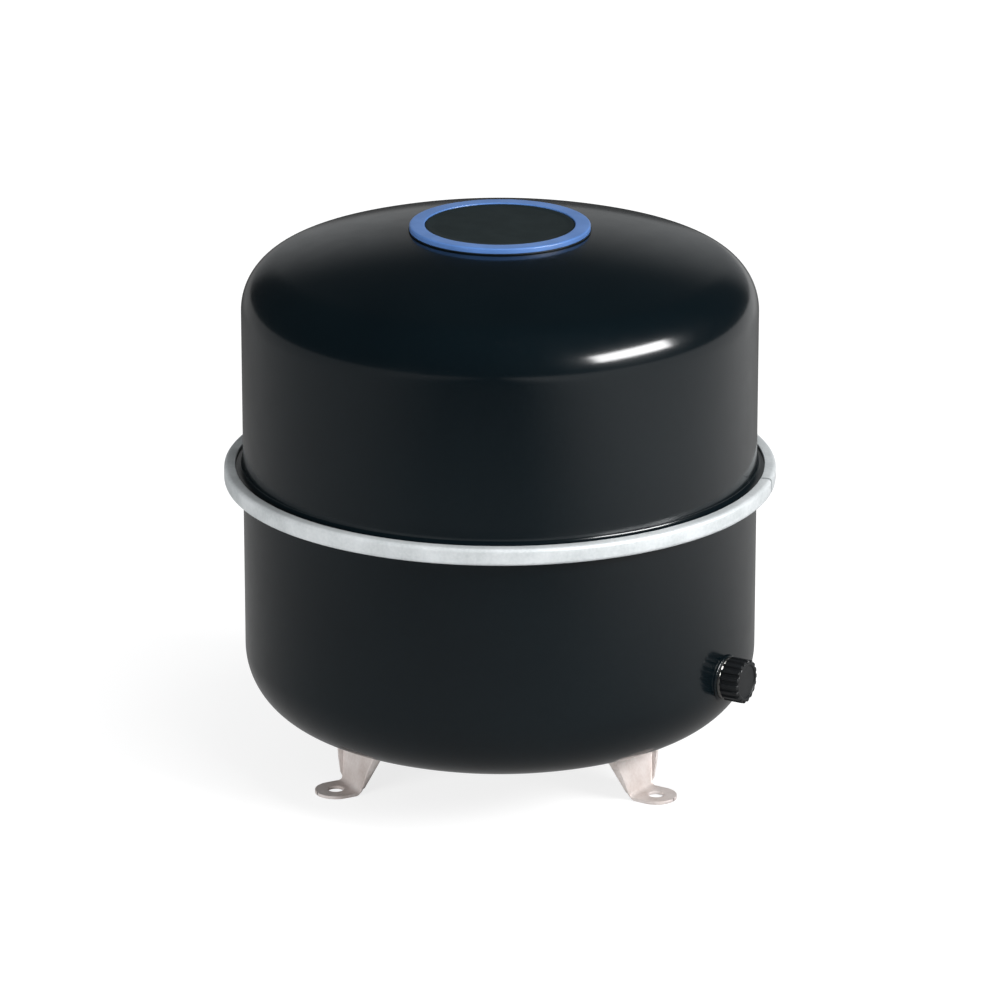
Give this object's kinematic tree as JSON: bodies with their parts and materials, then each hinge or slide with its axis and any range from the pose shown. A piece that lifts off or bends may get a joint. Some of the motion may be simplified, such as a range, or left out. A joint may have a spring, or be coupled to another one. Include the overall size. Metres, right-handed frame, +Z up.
{
  "type": "expansion tank",
  "caption": "Free-standing diaphragm expansion tank for heating water, with clench ring, feet, side connection under a ribbed cap, and a gas valve under a round top cover.",
  "frame": {"origin": "on the floor under the tank's axis, at the centre of the underside of the whole part", "axes": "+Z up along the tank's axis; +Y towards the rear foot; the water connection points out at 333 degrees from +X"},
  "size_m": [0.4369, 0.437, 0.4503],
  "materials": {
    "black_enamel": "gloss black baked enamel",
    "diaphragm_rubber": "moulded matte black rubber",
    "zinc_ring": "bright zinc plated, rolled",
    "zinc_feet": "warm grey zinc plated, stamped",
    "nipple_steel": "turned steel, satin",
    "cap_plastic": "moulded black, satin",
    "seal_rubber": "smooth black rubber",
    "valve_brass": "turned brass",
    "pin_steel": "bright drawn wire and turned steel",
    "cover_plastic": "moulded black, satin",
    "cover_blue": "moulded mid blue, semi gloss",
    "cover_disc_plastic": "bare matte dark grey disc"
  },
  "bodies": {
    "vessel": {"upper_shell": "black_enamel", "lower_shell": "black_enamel", "diaphragm": "diaphragm_rubber", "clench_ring": "zinc_ring", "foot_rear": "zinc_feet", "foot_front_left": "zinc_feet", "foot_front_right": "zinc_feet", "connection_nipple": "nipple_steel", "valve_boss": "nipple_steel", "valve_stem": "valve_brass", "valve_stem_seal": "seal_rubber", "core_barrel": "valve_brass", "core_gasket": "seal_rubber", "core_spring": "pin_steel"},
    "cover": {"cover_base": "cover_plastic", "cover_ring": "cover_blue", "cover_disc": "cover_disc_plastic"},
    "core_plunger": {"core_pin": "pin_steel", "core_seat_washer": "seal_rubber"},
    "port_cap_carrier": {"connection_cap_seal": "seal_rubber"},
    "port_cap": {"connection_cap": "cap_plastic"},
    "dust_cap_carrier": {"dust_cap_seal": "seal_rubber"},
    "dust_cap": {"valve_dust_cap": "cap_plastic"}
  },
  "joints": [
    {"name": "cover_lift", "type": "slide", "parent": "vessel", "child": "cover", "axis": [0, 0, 1], "range_m": [0, 0.06]},
    {"name": "core_push", "type": "slide", "parent": "vessel", "child": "core_plunger", "axis": [0, 0, -1], "range_m": [0, 0.001], "stiffness_N_per_m": 400, "deforming": ["core_spring"]},
    {"name": "connection_cap_travel", "type": "slide", "parent": "vessel", "child": "port_cap_carrier", "axis": [0.891, -0.454, 0], "range_m": [0, 0.01451]},
    {"name": "connection_cap_turn", "type": "hinge", "parent": "port_cap_carrier", "child": "port_cap", "pos_m": [0.19558, -0.09965, 0.109], "axis": [0.891, -0.454, 0], "range_deg": [0, 2881]},
    {"name": "dust_cap_travel", "type": "slide", "parent": "vessel", "child": "dust_cap_carrier", "axis": [0, 0, 1], "range_m": [0, 0.01032]},
    {"name": "dust_cap_turn", "type": "hinge", "parent": "dust_cap_carrier", "child": "dust_cap", "pos_m": [0, 0, 0.4308], "axis": [0, 0, 1], "range_deg": [0, 4681]}
  ],
  "couplings": [
    {"joint": "connection_cap_turn", "follows": "connection_cap_travel", "rad_per_m": 3463.7},
    {"joint": "dust_cap_turn", "follows": "dust_cap_travel", "rad_per_m": 7913.3}
  ]
}
